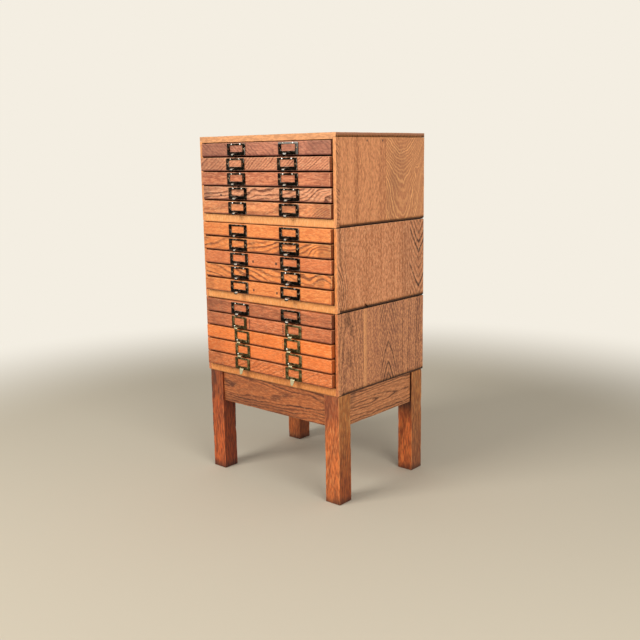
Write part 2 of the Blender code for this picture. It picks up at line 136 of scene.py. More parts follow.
def oak(name, grain, half, tones, staves, wander=(9, 150, 30), swells=(), folds=(), bands=(90, 26, 0.5),
        lumps=(15, 3.4), swing=0.65, flecks=0, marks=(), worn=0.5, grime_and_shade=(0, 5, "200c06"), sheen=0.40,
        edge=None, ends=None, facing_shade=None, seed=0):
    """Oiled oak: dark ring lines, short dashes of open pores between them, and a soft satin sheen.

    Grain names the axes along the grain, across it and into the board, and half is the board's half size in metres.
    The other sizes are in mm, degrees or shares.
    Tones are the wood's pale, deep and ring colours and the one that its arrises are worn to.
    Each stave is one glued part of the board: where it starts across the grain, its ring width, the place of its log's
    pith across and under the face, how far the pith leans and turns, which makes cathedrals and slants, and how much
    the rings show, as light lines if below 0.
    Wander is how far the rings stray, over which lengths along and across. Swells are bulges of the log (along,
    across, length, width, height), and folds bend the rings to a V (across, slope, bend, reach).
    Bands are broad soft changes of tone (length, width, strength), lumps are the streaks' length and width, and swing
    is how much they show. Flecks are rays, and marks are dark spots (along, across, length, width, strength), some of
    them painted shade. Grime and shade darken the lower end (strength, height, colour): dirt at the legs' feet, and
    painted shade in the gaps under the drawer fronts; the rails are darkened along their lower edges too.
    Edge and ends are the colours of front-facing wood and end grain where they differ. The facing tint is painted
    shade: its colour high on the front, for shade under the aprons, the heights between which it comes in, and its
    colours low and high on the other faces, which it paints darker than the front."""
    material = bpy.data.materials.new(name)
    material.use_nodes = True
    tree = material.node_tree
    shader = tree.nodes["Principled BSDF"]
    place = add(tree, "TexCoord", (), "Object")
    axes = add(tree, "SeparateXYZ", (place,)).node.outputs
    face = add(tree, "CombineXYZ", [axes[letter.upper()] for letter in grain])
    face = add(tree, "VectorMath", {0: face, "Scale": 1 / MM}, operation="SCALE")
    across = add(tree, "SeparateXYZ", (face,), "Y")

    def clouds(length, width, detail, w):
        """Noise whose lumps have the given sizes along the grain and across it."""
        scaled = add(tree, "Mapping", {"Vector": face, "Scale": (1 / length, 1 / width, 1 / width)})
        return add(tree, "TexNoise", {"Vector": scaled, "W": w, "Scale": 1, "Detail": detail}, noise_dimensions="4D")

    def away_from(spot_along, spot_across, length, width):
        """Distance on the face from a spot, as a share of the spot's sizes."""
        moved = (-spot_along / length, -spot_across / width, 0)
        scaled = add(tree, "Mapping", {"Vector": face, "Location": moved, "Scale": (1 / length, 1 / width, 0)})
        return add(tree, "VectorMath", (scaled,), "Value", operation="LENGTH")

    # The rings are counted out from the pith. Where the log strays from a true cylinder, the count does too
    stray = add(tree, "Math", (clouds(wander[1], wander[2], 2, seed), 2 * wander[0]), operation="MULTIPLY")
    stray = add(tree, "Math", (clouds(30, 5, 2, seed + 3), 3.5, stray), operation="MULTIPLY_ADD")
    for *spot, height in swells:
        swell = add(tree, "MapRange", (away_from(*spot), 0, 1, 1, 0), **SMOOTH)
        stray = add(tree, "Math", (swell, height, stray), operation="MULTIPLY_ADD")
    for middle, slope, bend, reach in folds:
        aside = add(tree, "Math", (across, middle), operation="SUBTRACT")
        aside = add(tree, "Math", (aside,), operation="ABSOLUTE")
        aside = add(tree, "Math", (aside, reach), operation="MINIMUM")
        rise = add(tree, "Math", (aside, bend), operation="POWER")
        stray = add(tree, "Math", (rise, slope, stray), operation="MULTIPLY_ADD")
    count = shown = None
    for start, ring, pith_across, pith_depth, lean, turn, contrast in staves:
        skew = {"Location": (0, -pith_across, -pith_depth), "Rotation": (0, radians(lean), radians(turn))}
        log = add(tree, "Mapping", {"Vector": face, **skew})
        log = add(tree, "VectorMath", (log, (0, 1, 1)), operation="MULTIPLY")
        log = add(tree, "VectorMath", (log,), "Value", operation="LENGTH")
        rings = add(tree, "Math", (log, stray), operation="ADD")
        rings = add(tree, "Math", (rings, 1 / ring, start), operation="MULTIPLY_ADD")
        if count is not None:
            beyond = add(tree, "Math", (across, start), operation="GREATER_THAN")
            rings = add(tree, "Mix", {0: beyond, 2: count, 3: rings}, data_type="FLOAT")
            contrast = add(tree, "Mix", {0: beyond, 2: shown, 3: contrast}, data_type="FLOAT")
        count, shown = rings, contrast

    # A ring is dark where its early wood lies open, soon after its start, and fades to dense late wood
    ring_share = add(tree, "Math", (count,), operation="FRACT")
    ramp = add(tree, "ValToRGB", (ring_share,))
    stops = ramp.node.color_ramp.elements
    stops[0].color = stops[1].color = (0.25, 0.25, 0.25, 1)
    for position, level in ((0.10, 1.0), (0.30, 1.0), (0.48, 0.2), (0.70, 0.0), (0.90, 0.02)):
        stops.new(position).color = (level, level, level, 1)
    year = add(tree, "Math", (count,), operation="FLOOR")
    year = add(tree, "TexWhiteNoise", {"W": year}, noise_dimensions="1D")
    patch = clouds(bands[0], bands[1], 3, seed + 7)
    dark = add(tree, "Math", (ramp, add(tree, "MapRange", (year, 0, 1, 0.35, 1), **SMOOTH)), operation="MULTIPLY")
    faded = add(tree, "MapRange", (patch, 0.3, 0.6, 0.6, 1), **SMOOTH)
    dark = add(tree, "Math", (dark, faded), operation="MULTIPLY")

    # Pores are open tubes of 0.3 mm by a few mm, and streaks are bundles of them. Both are drawn coarser, to show
    streak = add(tree, "MapRange", (clouds(*lumps, 2, seed + 11), 0.42, 0.58), **SMOOTH)
    tubes = clouds(lumps[0] * 0.6, lumps[1] * 0.6, 2, seed + 13)
    tubes = add(tree, "MapRange", (tubes, 0.52, 0.64), **SMOOTH)
    glints = clouds(lumps[0] * 0.8, lumps[1] * 0.7, 2, seed + 23)
    glints = add(tree, "MapRange", (glints, 0.54, 0.66, 0, 0.6 * swing), **SMOOTH)

    # The other colours go over the pale one in turn, each by its share
    pale, deep, line, rubbed_and_highlight = [linear(tone) for tone in tones]
    dapple = add(tree, "Math", (patch, bands[2], 0.05 - bands[2] / 2), operation="MULTIPLY_ADD")
    dapple = add(tree, "Math", (streak, swing, dapple), operation="MULTIPLY_ADD")
    lines = add(tree, "Math", (dark, shown), operation="MULTIPLY")
    coats = [(dapple, deep), (lines, line)]
    if min(stave[-1] for stave in staves) < 0:
        coats.append((add(tree, "Math", (shown, -0.6), operation="MULTIPLY"), deep))
        coats.append((add(tree, "Math", (lines, -1), operation="MULTIPLY"), rubbed_and_highlight))
    coats.append((add(tree, "Math", (tubes, 0.35 * swing), operation="MULTIPLY"), line))
    coats.append((glints, rubbed_and_highlight))
    if flecks:
        # Medullary rays, cut lengthwise by quarter-sawing: short bright ribbons across the grain
        coats.append((add(tree, "MapRange", (clouds(4, 14, 1, seed + 17), 0.55, 0.65, 0, flecks), **SMOOTH), rubbed_and_highlight))
    looks = add(tree, "SeparateXYZ", (add(tree, "TexCoord", (), "Normal"),)).node.outputs
    if edge:
        sawn = add(tree, "Math", (streak, 0.3), operation="MULTIPLY")
        sawn = add(tree, "Mix", {0: sawn, 6: linear(edge), 7: line}, 2, data_type="RGBA")
        coats.append((add(tree, "MapRange", (looks["Y"], -0.6, -0.9, 0, 0.85), **SMOOTH), sawn))
    height = add(tree, "Math", (axes["Z"], half[2]), operation="ADD")
    # Painted shade by facing: the front darkens towards its top, and the other faces are tinted darker than the front
    if facing_shade:
        top, first, last, flank_foot, flank_top = facing_shade
        front = add(tree, "MapRange", (height, first * MM, last * MM), **SMOOTH)
        front = add(tree, "Mix", {0: front, 6: linear("ffffff"), 7: linear(top)}, 2, data_type="RGBA")
        flank = add(tree, "MapRange", (height, 0, 2 * half[2]), **SMOOTH)
        flank = add(tree, "Mix", {0: flank, 6: linear(flank_foot), 7: linear(flank_top)}, 2, data_type="RGBA")
        aside = add(tree, "MapRange", (looks["Y"], -0.8, -0.5), **SMOOTH)
        tint = add(tree, "Mix", {0: aside, 6: front, 7: flank}, 2, data_type="RGBA")
        coats.append((1, tint, "MULTIPLY"))
    facing = add(tree, "Math", (looks[grain[0].upper()],), operation="ABSOLUTE")
    facing = add(tree, "MapRange", (facing, 0.6, 0.9, 0, 0.85), **SMOOTH)
    coats.append((facing, linear(ends) if ends else line))
    # Dark marks: nail heads, plugs and knocks, and some painted shade at joints and at the fronts' left ends
    for *spot, strength in marks:
        stain_and_shade = add(tree, "MapRange", (away_from(*spot), 0.6, 1.1, strength, 0), **SMOOTH)
        coats.append((stain_and_shade, linear("2a1009")))

    # The distance to the nearest arris is the second smallest of the three distances to the faces
    inside = add(tree, "VectorMath", (place,), operation="ABSOLUTE")
    inside = add(tree, "VectorMath", (list(half), inside), operation="SUBTRACT")
    a, b, c = add(tree, "SeparateXYZ", (inside,)).node.outputs
    smaller = add(tree, "Math", (a, b), operation="MINIMUM")
    larger = add(tree, "Math", (a, b), operation="MAXIMUM")
    arris = add(tree, "Math", (larger, c), operation="MINIMUM")
    arris = add(tree, "Math", (arris, smaller), operation="MAXIMUM")
    rub = add(tree, "MapRange", (arris, 0.2 * MM, 2.4 * MM, 1, 0), **SMOOTH)
    uneven = add(tree, "MapRange", (clouds(30, 8, 2, seed + 19), 0.35, 0.6), **SMOOTH)
    rub = add(tree, "Math", (rub, uneven), operation="MULTIPLY")
    coats.append((add(tree, "Math", (rub, worn), operation="MULTIPLY"), rubbed_and_highlight))
    # Darker towards the lower end: dirt on the legs, painted shade under the drawer fronts
    if grime_and_shade[0]:
        dirt_and_shade = add(tree, "MapRange", (height, 0, grime_and_shade[1] * MM, grime_and_shade[0], 0), **SMOOTH)
        coats.append((dirt_and_shade, linear(grime_and_shade[2])))

    colour = pale
    for share, over, *way in coats:
        mixing = way[0] if way else "MIX"
        colour = add(tree, "Mix", {0: share, 6: colour, 7: over}, 2, data_type="RGBA", blend_type=mixing)
    tree.links.new(colour, shader.inputs["Base Color"])
    gloss = add(tree, "Math", (patch, 0.12, sheen), operation="MULTIPLY_ADD")
    gloss = add(tree, "Math", (dark, 0.22, gloss), operation="MULTIPLY_ADD")
    tree.links.new(gloss, shader.inputs["Roughness"])
    relief = add(tree, "Math", (tubes, -0.7, 1), operation="MULTIPLY_ADD")
    relief = add(tree, "Math", (dark, -0.4, relief), operation="MULTIPLY_ADD")
    bump = add(tree, "Bump", {"Strength": 0.35, "Distance": 0.25 * MM, "Height": relief})
    tree.links.new(bump, shader.inputs["Normal"])
    shader.inputs["IOR"].default_value = 1.48
    return material


LEG_TONES = {
    "front_left": ("cc5e24", "7e300a", "34120a", "d07a42"),
    "front_right": ("e27a3a", "a04a1a", "3e1606", "e8a060"),
    "back_left": ("cc6c30", "8c3e14", "3e1606", "d88c50"),
    "back_right": ("f4803c", "a84a1e", "3e1608", "f09c54"),
}
# Painted shade on each leg: the front's colour high up under the apron, the heights between which it comes in, and the
# darker colours of the other faces low and high
LEG_FACING_SHADES = {
    "front_left": ("cfd4c8", 185, 240, "b4a282", "b4a490"),
    "front_right": ("c2bccb", 188, 258, "b49f7c", "dafaff"),
    "back_left": ("ffffff", 195, 270, "ccc0b0", "ccc0b0"),
    "back_right": ("6c6866", 150, 205, "b0c3e5", "ccf4ff"),
}
# Dark knocks along an arris of the front left leg, and a line of painted shade where the right apron meets the back leg
LEG_MARKS = {
    "front_left": ((128, -14, 26, 14, 0.45), (92, -23, 17, 5, 0.8), (11, -24, 5, 6, 0.85), (-19, -24, 6, 5, 0.8),
                   (-53, -24, 7, 5, 0.7)),
    "back_right": ((106, 20.5, 52, 3, 0.85),),
}
for number, corner in enumerate(LEG_TONES):
    node = "leg_" + corner
    low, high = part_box(node)
    stained = oak("stained_oiled_oak_" + node, "zxy", (high - low) / 2, LEG_TONES[corner],
                  [(0, 9, 14, 34 + 9 * number, 3, 0, 0.45)], wander=(3, 150, 14), bands=(160, 22, 0.5),
                  lumps=(26, 3.6), swing=0.8, marks=LEG_MARKS.get(corner, ()), grime_and_shade=(0.7, 26, "200c06"),
                  facing_shade=LEG_FACING_SHADES[corner], seed=20 + number)
    leg = board(node + "_post", low, high, "cabinet", stained, 1.8 * MM, 0.9 * MM, seed=number)
    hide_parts(node)


# Aprons
# Four boards of the same stained oak, tenoned between the legs with their faces set back from them.
# The grain runs lengthwise with long dark cathedrals, and the front and right aprons are darker along their lower
# edges.

APRON_TONES = {
    "front": ("be6c38", "8b451f", "451c0a", "d8925a"),
    "right": ("ce8452", "9c5e36", "4c2410", "dca06c"),
    "back": ("c6723c", "924a22", "451c0a", "d8925a"),
    "left": ("c6723c", "924a22", "451c0a", "d8925a"),
}
# The right apron is dark too where it meets the front leg
APRON_MARKS = {
    "front": ((-80, -45, 200, 34, 0.33),),
    "right": ((-140, 32, 32, 26, 0.4), (0, -45, 170, 22, 0.16)),
}
leg_boxes = {corner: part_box("leg_" + corner) for corner in LEG_TONES}
for number, side in enumerate(APRON_TONES):
    node = "apron_" + side
    low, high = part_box(node)
    if side in ("front", "back"):
        low.x = leg_boxes[side + "_left"][1].x + 0.3 * MM
        high.x = leg_boxes[side + "_right"][0].x - 0.3 * MM
        grain = "xzy"
    else:
        low.y = leg_boxes["front_" + side][1].y + 0.3 * MM
        high.y = leg_boxes["back_" + side][0].y - 0.6 * MM
        grain = "yzx"
    stained = oak("stained_oiled_oak_" + node, grain, (high - low) / 2, APRON_TONES[side],
                  [(0, 8.2, 12 - 9 * number, 14, 4, 0, 0.95)], wander=(13, 130, 30), lumps=(16, 3.4),
                  marks=APRON_MARKS.get(side, ()), worn=0.4, seed=30 + number)
    apron = board(node + "_board", low, high, "cabinet", stained, 1.4 * MM, 0.6 * MM, seed=10 + number)
    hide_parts(node)


# Case sides
# Two upright boards of solid oak for each of the three cases, which are stacked loose. Their sawn front edges are
# golden, and their outer faces have darkened to a tan brown. A rabbet under each outer face, its faces painted nearly
# black as shade, reads as a black line.

CASE_WALL = 10 * MM
CASE_FRONT, CASE_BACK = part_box("lower_case")[0].y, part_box("lower_case")[1].y
CASE_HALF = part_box("lower_case")[1].x
CASE_INNER = CASE_HALF - CASE_WALL
BACK_BOARD = 6 * MM
RABBET, BACK_RABBET = 3.5 * MM, 4 * MM
# How far a cutting block stands past the board that it cuts
PAST = 2 * MM
CASE_NAMES = ("lower_case", "middle_case", "upper_case")
RABBET_HEIGHTS = {"upper_case": 2.7 * MM, "middle_case": 2.7 * MM, "lower_case": 1.7 * MM}
GOLD = {"upper_case": "f4a262", "middle_case": "f09650", "lower_case": "d67c47"}
SIDE_TONES = {
    "upper_case": ("d98f5c", "ae6a3e", "5c3218", "ecaa6e"),
    "middle_case": ("da9060", "b06c40", "46220c", "efb07c"),
    "lower_case": ("d08a5a", "9c6040", "3c1d0c", "dc9862"),
}
SIDE_FIGURES = {
    "upper_case": dict(
        staves=[(0, 9, -300, 0, 0, 48, 0.9), (-180, 11, 150, 70, 2, 0, 0.25), (14, 14, 420, 40, 0, 103, -1.1)],
        wander=(13, 30, 20), swells=((10, 90, 115, 420, 50), (28, 146, 24, 22, 34)),
        folds=((92, 0.045, 1.75, 102),), bands=(500, 24, 3.0), lumps=(13, 4.2), swing=0.75, seed=41),
    "middle_case": dict(
        staves=[(0, 20, -330, 0, 0, 0, 1.15), (-150, 12, -230, 60, 3, 0, 0.15), (126, 25, 420, 40, 0, 90, 1.4)],
        wander=(5, 90, 30), swells=((-55, -212, 88, 72, -90),),
        folds=((168, 0.5, 1.3, 44),), bands=(500, 20, 2.4), lumps=(11, 4.2), swing=0.9, seed=44),
    "lower_case": dict(
        staves=[(0, 9, -150, 40, 5, 0, 0.65), (-86, 60, -92, 0, 0, 0, -1.15), (-70, 12, -150, 90, 2, 0, 0.25),
                (-14, 30, 420, 30, 0, 90, 1.15), (58, 9, 260, 60, 4, 0, 0.8)],
        wander=(6, 30, 16), folds=((24, -0.62, 1.38, 45.7),), bands=(400, 20, 2.0), lumps=(9, 4.4), swing=0.95,
        seed=47),
}
# Two nail heads, and clouds of darker wood
SIDE_MARKS = {
    "upper_case": ((104, -67, 3.4, 3.4, 0.85), (104, -1, 3.4, 3.4, 0.85), (33, 70, 70, 44, 0.14),
                   (-48, 42, 80, 30, 0.12)),
    "middle_case": ((0, 106, 150, 26, 0.15),),
}


def baked(piece):
    """The mesh of a piece with its modifiers carried out."""
    return bpy.data.meshes.new_from_object(piece.evaluated_get(bpy.context.evaluated_depsgraph_get()))


def cut(piece, tool, operation="DIFFERENCE"):
    """Cuts a tool out of a piece, or joins it on, for good, and takes the tool away. Cut faces keep the tool's
    material."""
    modifier = piece.modifiers.new("cut", "BOOLEAN")
    modifier.operation = operation
    modifier.object = tool
    modifier.material_mode = "TRANSFER"
    mesh = baked(piece)
    piece.modifiers.clear()
    piece.data = mesh
    bpy.data.objects.remove(tool, do_unlink=True)


def block(name, low, high, material, turn=Matrix.Identity(4)):
    """A plain block between two corners, turned about its centre, to cut with."""
    low = Vector(low)
    high = Vector(high)
    shape = bmesh.new()
    bmesh.ops.create_cube(shape, size=1, matrix=turn @ Matrix.Diagonal((*(high - low), 1)))
    return placed(name, mesh_of(name, shape, material), (low + high) / 2)


def shaded_again(piece):
    """Shades a cut board smooth up to its sharp arrises."""
    piece.data.shade_smooth()
    piece.data.set_sharp_from_angle(angle=radians(40))
    piece.modifiers.new("even_shading", "WEIGHTED_NORMAL").keep_sharp = True


# The rabbets' faces are painted nearly black: painted shade in the recesses, and the dust that neither oil nor a cloth
# reaches
dust_and_shade_oak = oak("shadowed_dusty_oak", "yzx", (0.2, 0.2, 0.2), ("24120a", "180b05", "0c0503", "2e1a10"),
            [(0, 8, 0, 40, 0, 0, 0.5)], worn=0, sheen=0.8, seed=70)

for number, case in enumerate(CASE_NAMES):
    low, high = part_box(case)
    for way, side in ((-1, "left"), (1, "right")):
        near_x, far_x = sorted((way * CASE_HALF, way * CASE_INNER))
        half = ((far_x - near_x) / 2, (CASE_BACK - CASE_FRONT) / 2, (high.z - low.z) / 2)
        look = dict(SIDE_FIGURES[case])
        look["seed"] += 60 * (way < 0)
        look["marks"] = SIDE_MARKS.get(case, ()) if way > 0 else ()
        panel_oak = oak("oiled_oak_%s_%s" % (case, side), "zyx", half, SIDE_TONES[case], edge=GOLD[case], **look)
        panel = board("%s_side_%s" % (case, side), (near_x, CASE_FRONT, low.z), (far_x, CASE_BACK, high.z),
                      "cabinet", panel_oak, 0.9 * MM, 0.35 * MM, seed=20 + number)
        x_low, x_high = sorted((way * (CASE_HALF - RABBET), way * (CASE_HALF + PAST)))
        cut(panel, block("rabbet", (x_low, CASE_FRONT + 1.5 * MM, low.z - PAST),
                         (x_high, CASE_BACK + PAST, low.z + RABBET_HEIGHTS[case]), dust_and_shade_oak))
        x_low, x_high = sorted((way * (CASE_INNER - PAST), way * (CASE_INNER + BACK_RABBET)))
        cut(panel, block("back_rabbet", (x_low, CASE_BACK - BACK_BOARD, low.z - PAST),
                         (x_high, CASE_BACK + PAST, high.z + PAST), panel_oak))
        corner = Vector((way * CASE_HALF, CASE_FRONT, low.z))
        chip = Vector((2.2, 8, 2.2)) * MM
        cut(panel, block("chipped_corner", corner - chip, corner + chip, panel_oak, Matrix.Rotation(pi / 4, 4, "Y")))
        shaded_again(panel)
        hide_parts(case)


# Case rails
# A planed oak rail closes each case under its drawers. It is golden like the sides' edges, with the short bright flecks
# of quarter-sawn wood.

RAIL_HEIGHT, RAIL_DEPTH = 22 * MM, 20 * MM
RAIL_TONES = {
    "upper_case": ("f0a661", "da904f", "a05c2c", "ffc888"),
    "middle_case": ("f4a45a", "dc8c48", "9c5828", "ffc280"),
    "lower_case": ("e38e48", "c67535", "84461c", "f4aa6c"),
}
for number, case in enumerate(CASE_NAMES):
    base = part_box(case)[0].z
    rail_low = Vector((-CASE_INNER, CASE_FRONT + 0.4 * MM, base))
    rail_high = Vector((CASE_INNER, CASE_FRONT + RAIL_DEPTH, base + RAIL_HEIGHT))
    rail_oak = oak("planed_oak_%s_rail" % case, "xzy", (rail_high - rail_low) / 2, RAIL_TONES[case],
                   [(0, 8, 5, 45, 0, 0, 0.2)], wander=(3, 160, 12), lumps=(5, 12), swing=0.45, flecks=0.4,
                   grime_and_shade=(0.5, 4, "200c06"), seed=60 + number)
    board(case + "_rail_board", rail_low, rail_high, "cabinet", rail_oak, 0.7 * MM, 0.25 * MM,
          seed=30 + number)


# Case floors and runners
# A thin floor behind each rail, and ten plain strips a case, glued to the sides, that the drawers hang and slide on.
# They were never oiled, so that they are pale and dull, and show only when a drawer is out.

RAW_TONES = ("b98a5e", "a4764b", "7d5431", "c79a6e")
DRAWER_PITCH = 39.6 * MM
RUNNER_WIDTH, RUNNER_HALF_HEIGHT, RUNNER_START = 9 * MM, 3 * MM, 26 * MM
FLOOR_LOW, FLOOR_HIGH = 10 * MM, 18 * MM
# The runners lie this much under the middle of a drawer's space, and all ends stay this far from the case's back
RUNNER_DROP = 1.05 * MM
END_GAP = 6.3 * MM


def boards(name, pairs, body, material, arris=0.5 * MM):
    """Several plain boards in one piece, from pairs of corners, with slightly broken arrises."""
    shape = bmesh.new()
    middle = (Vector(pairs[0][0]) + Vector(pairs[0][1])) / 2
    for low, high in pairs:
        size = Vector(high) - Vector(low)
        spot = (Vector(high) + Vector(low)) / 2 - middle
        bmesh.ops.create_cube(shape, size=1, matrix=Matrix.Translation(spot) @ Matrix.Diagonal((*size, 1)))
    bmesh.ops.bevel(shape, geom=shape.edges[:], offset=arris, segments=1, affect="EDGES")
    piece = placed(name, mesh_of(name, shape, material), middle)
    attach(piece, body)
    return piece


raw_oak = oak("raw_oak_inside", "yxz", (CASE_INNER, 0.18, 0.1), RAW_TONES, [(0, 8, 30, 40, 2, 0, 0.4)], worn=0,
              sheen=0.6, seed=80)
for case in CASE_NAMES:
    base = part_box(case)[0].z
    strips = [((-CASE_INNER, CASE_FRONT + RAIL_DEPTH, base + FLOOR_LOW),
               (CASE_INNER, CASE_BACK - END_GAP, base + FLOOR_HIGH))]
    for row in range(5):
        middle = base + RAIL_HEIGHT + (row + 0.5) * DRAWER_PITCH - RUNNER_DROP
        for x_low, x_high in ((-CASE_INNER, -CASE_INNER + RUNNER_WIDTH), (CASE_INNER - RUNNER_WIDTH, CASE_INNER)):
            strips.append(((x_low, CASE_FRONT + RUNNER_START, middle - RUNNER_HALF_HEIGHT),
                           (x_high, CASE_BACK - END_GAP, middle + RUNNER_HALF_HEIGHT)))
    boards(case + "_floor_and_runners", strips, "cabinet", raw_oak)


# Case backs
# One thin oak panel for each case, let into rabbets in the sides and nailed. Its grain runs across, and it was sawn
# a little short, so that a dark line shows between two cases. It has had little oil, and is flat brown.

SHORT = Vector((0, 0, 0.9 * MM))
BACK_NAILS = [(side * 237, height, 1.9, 1.9, 0.8) for side in (-1, 1) for height in (-88, -30, 30, 88)]
for number, case in enumerate(CASE_NAMES):
    node = case + "_back"
    low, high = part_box(node)
    low, high = low + SHORT, high - SHORT
    back_oak = oak("plain_oak_" + node, "xzy", (high - low) / 2, ("a5714a", "8d5c39", "5d3820", "b98a5c"),
                   [(0, 10, 30 + 22 * number, 25, 3, 0, 0.6)], wander=(18, 200, 50), lumps=(40, 5), marks=BACK_NAILS,
                   worn=0.2, sheen=0.5, seed=90 + 7 * number)
    panel = board(node + "_panel", low, high, "cabinet", back_oak, 0.4 * MM, 0.1 * MM, seed=60 + number)
    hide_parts(node)


# Top board
# One plank of oak laid over the upper case and nailed down, let in between the case's sides.
# Its sawn front edge is as golden as the rails, its ends and top are dark.

low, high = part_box("top_board")
top_oak = oak("oiled_oak_top", "xyz", (high - low) / 2, ("c5814a", "9a5a32", "643820", "dfa366"),
              [(0, 11, 40, 24, 4, 0, 0.8)], wander=(16, 170, 50), lumps=(16, 4), edge="eca66e", ends="a0684c",
              marks=((-240, -193, 26, 30, 0.14),), seed=71)
plank = board("top_plank", low, high, "cabinet", top_oak, 1.2 * MM, 0.4 * MM, seed=41)
LAP_HEIGHT = 5.5 * MM
for way in (-1, 1):
    x_low, x_high = sorted((way * (CASE_HALF + PAST), way * (CASE_INNER - 0.3 * MM)))
    cut(plank, block("lap", (x_low, low.y - PAST, low.z - PAST), (x_high, high.y + PAST, low.z + LAP_HEIGHT), top_oak))
shaded_again(plank)
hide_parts("top_board")


# Drawer trays
# Two grooved sides, a back and a thin bottom of poplar, glued and nailed behind each front, whose grooves ride on the
# runners. The wood has no finish: it is pale, even and dull.

DRAWERS = range(1, 16)
FRONT = 18 * MM
TRAY_HALF, TRAY_WALL, TRAY_LENGTH = 238 * MM, 10 * MM, 370 * MM
# Heights are from the middle of a drawer's face
TRAY_LOW, TRAY_HIGH = -16.05 * MM, 13.95 * MM
GROOVE_LOW, GROOVE_HIGH, GROOVE_FLOOR = -4.85 * MM, 2.25 * MM, 232.4 * MM
BOTTOM_LOW, BOTTOM_HIGH = -14.05 * MM, -10.05 * MM
GLUE = 0.1 * MM
POPLAR_TONES = ("d3ad7d", "c29a6b", "9c7347", "e0c196")


def tray_mesh(name, material):
    """One tray, from its face's middle: two sides with a groove along them, then a back and a bottom between them."""
    shape = bmesh.new()
    for way in (-1, 1):
        profile = ((TRAY_HALF - TRAY_WALL, TRAY_LOW), (TRAY_HALF, TRAY_LOW),
                   (TRAY_HALF, GROOVE_LOW), (GROOVE_FLOOR, GROOVE_LOW), (GROOVE_FLOOR, GROOVE_HIGH),
                   (TRAY_HALF, GROOVE_HIGH), (TRAY_HALF, TRAY_HIGH), (TRAY_HALF - TRAY_WALL, TRAY_HIGH))
        loop = [shape.verts.new((way * x, FRONT + GLUE, z)) for x, z in profile]
        side = shape.faces.new(loop)
        grown = bmesh.ops.extrude_face_region(shape, geom=[side])["geom"]
        ends = [part for part in grown if isinstance(part, bmesh.types.BMVert)]
        bmesh.ops.translate(shape, vec=(0, TRAY_LENGTH - FRONT, 0), verts=ends)
    inner = TRAY_HALF - TRAY_WALL - GLUE
    for low, high in (((-inner, TRAY_LENGTH - TRAY_WALL, TRAY_LOW), (inner, TRAY_LENGTH, TRAY_HIGH)),
                      ((-inner, FRONT + GLUE, BOTTOM_LOW), (inner, TRAY_LENGTH - TRAY_WALL - GLUE, BOTTOM_HIGH))):
        size = Vector(high) - Vector(low)
        spot = (Vector(high) + Vector(low)) / 2
        bmesh.ops.create_cube(shape, size=1, matrix=Matrix.Translation(spot) @ Matrix.Diagonal((*size, 1)))
    bmesh.ops.recalc_face_normals(shape, faces=shape.faces)
    bmesh.ops.bevel(shape, geom=shape.edges[:], offset=0.5 * MM, segments=1, affect="EDGES")
    return mesh_of(name, shape, material)


tray_meshes = []
for kind in range(3):
    poplar = oak("unfinished_poplar_%d" % kind, "yxz", (TRAY_HALF, TRAY_LENGTH, TRAY_HIGH), POPLAR_TONES,
                 [(0, 12, 20, 40, 2, 0, 0.35)], wander=(14, 220, 40), swing=0.4, worn=0, sheen=0.6, seed=100 + kind)
    tray_meshes.append(tray_mesh("tray_%d" % kind, poplar))
for number in DRAWERS:
    body = "drawer_%02d" % number
    low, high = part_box(body)
    tray = placed(body + "_tray", tray_meshes[number % 3], (0, low.y, (low.z + high.z) / 2))
    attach(tray, body)
    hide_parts(body)


# Drawer fronts
# Fifteen thick boards, no two from the same log: some are plain-sawn with cathedrals and bullseyes, some quarter-sawn
# and calm. All are oiled, with slightly rounded and rubbed arrises, and stand a little proud of the case.

# From nearly purple, where old finish is left, to the orange of wood that has been scrubbed
TONES = {
    "plum": ("c67c5c", "98583e", "5a281a", "dc9c78"),
    "fawn": ("e09368", "ba704c", "66300f", "f4bc8e"),
    "red": ("d88458", "ac5c38", "70321a", "eca87c"),
    "tan": ("eca276", "c47a50", "66300f", "fcc89a"),
    "amber": ("ee985e", "c87042", "6a3010", "fcc48c"),
    "orange": ("f2904a", "d06c30", "743410", "ffba74"),
    "honey": ("f8964e", "d87434", "743410", "ffc07c"),
    "rust": ("e4824a", "c26432", "6c3010", "f8b078"),
    "russet": ("da7c4c", "a85a32", "50240c", "e8a470"),
    "sienna": ("e2804c", "b05a2e", "5c2a10", "eca878"),
    "bright": ("fc883c", "dc6e28", "984414", "ffb674"),
    "vivid": ("f4823c", "d46a2a", "904012", "fcb070"),
    "ember": ("ea8244", "bc5e28", "7c3812", "fcb078"),
}
# Dark plugs in the holes of older pulls, and the one stave of a calm quarter-sawn front
ROUND_PLUG, OVAL_PLUG = (4.2, 4.2, 0.85), (5.4, 4.4, 0.9)
PLAIN = (0, 8, 0, 60, 0, 0, 0.16)
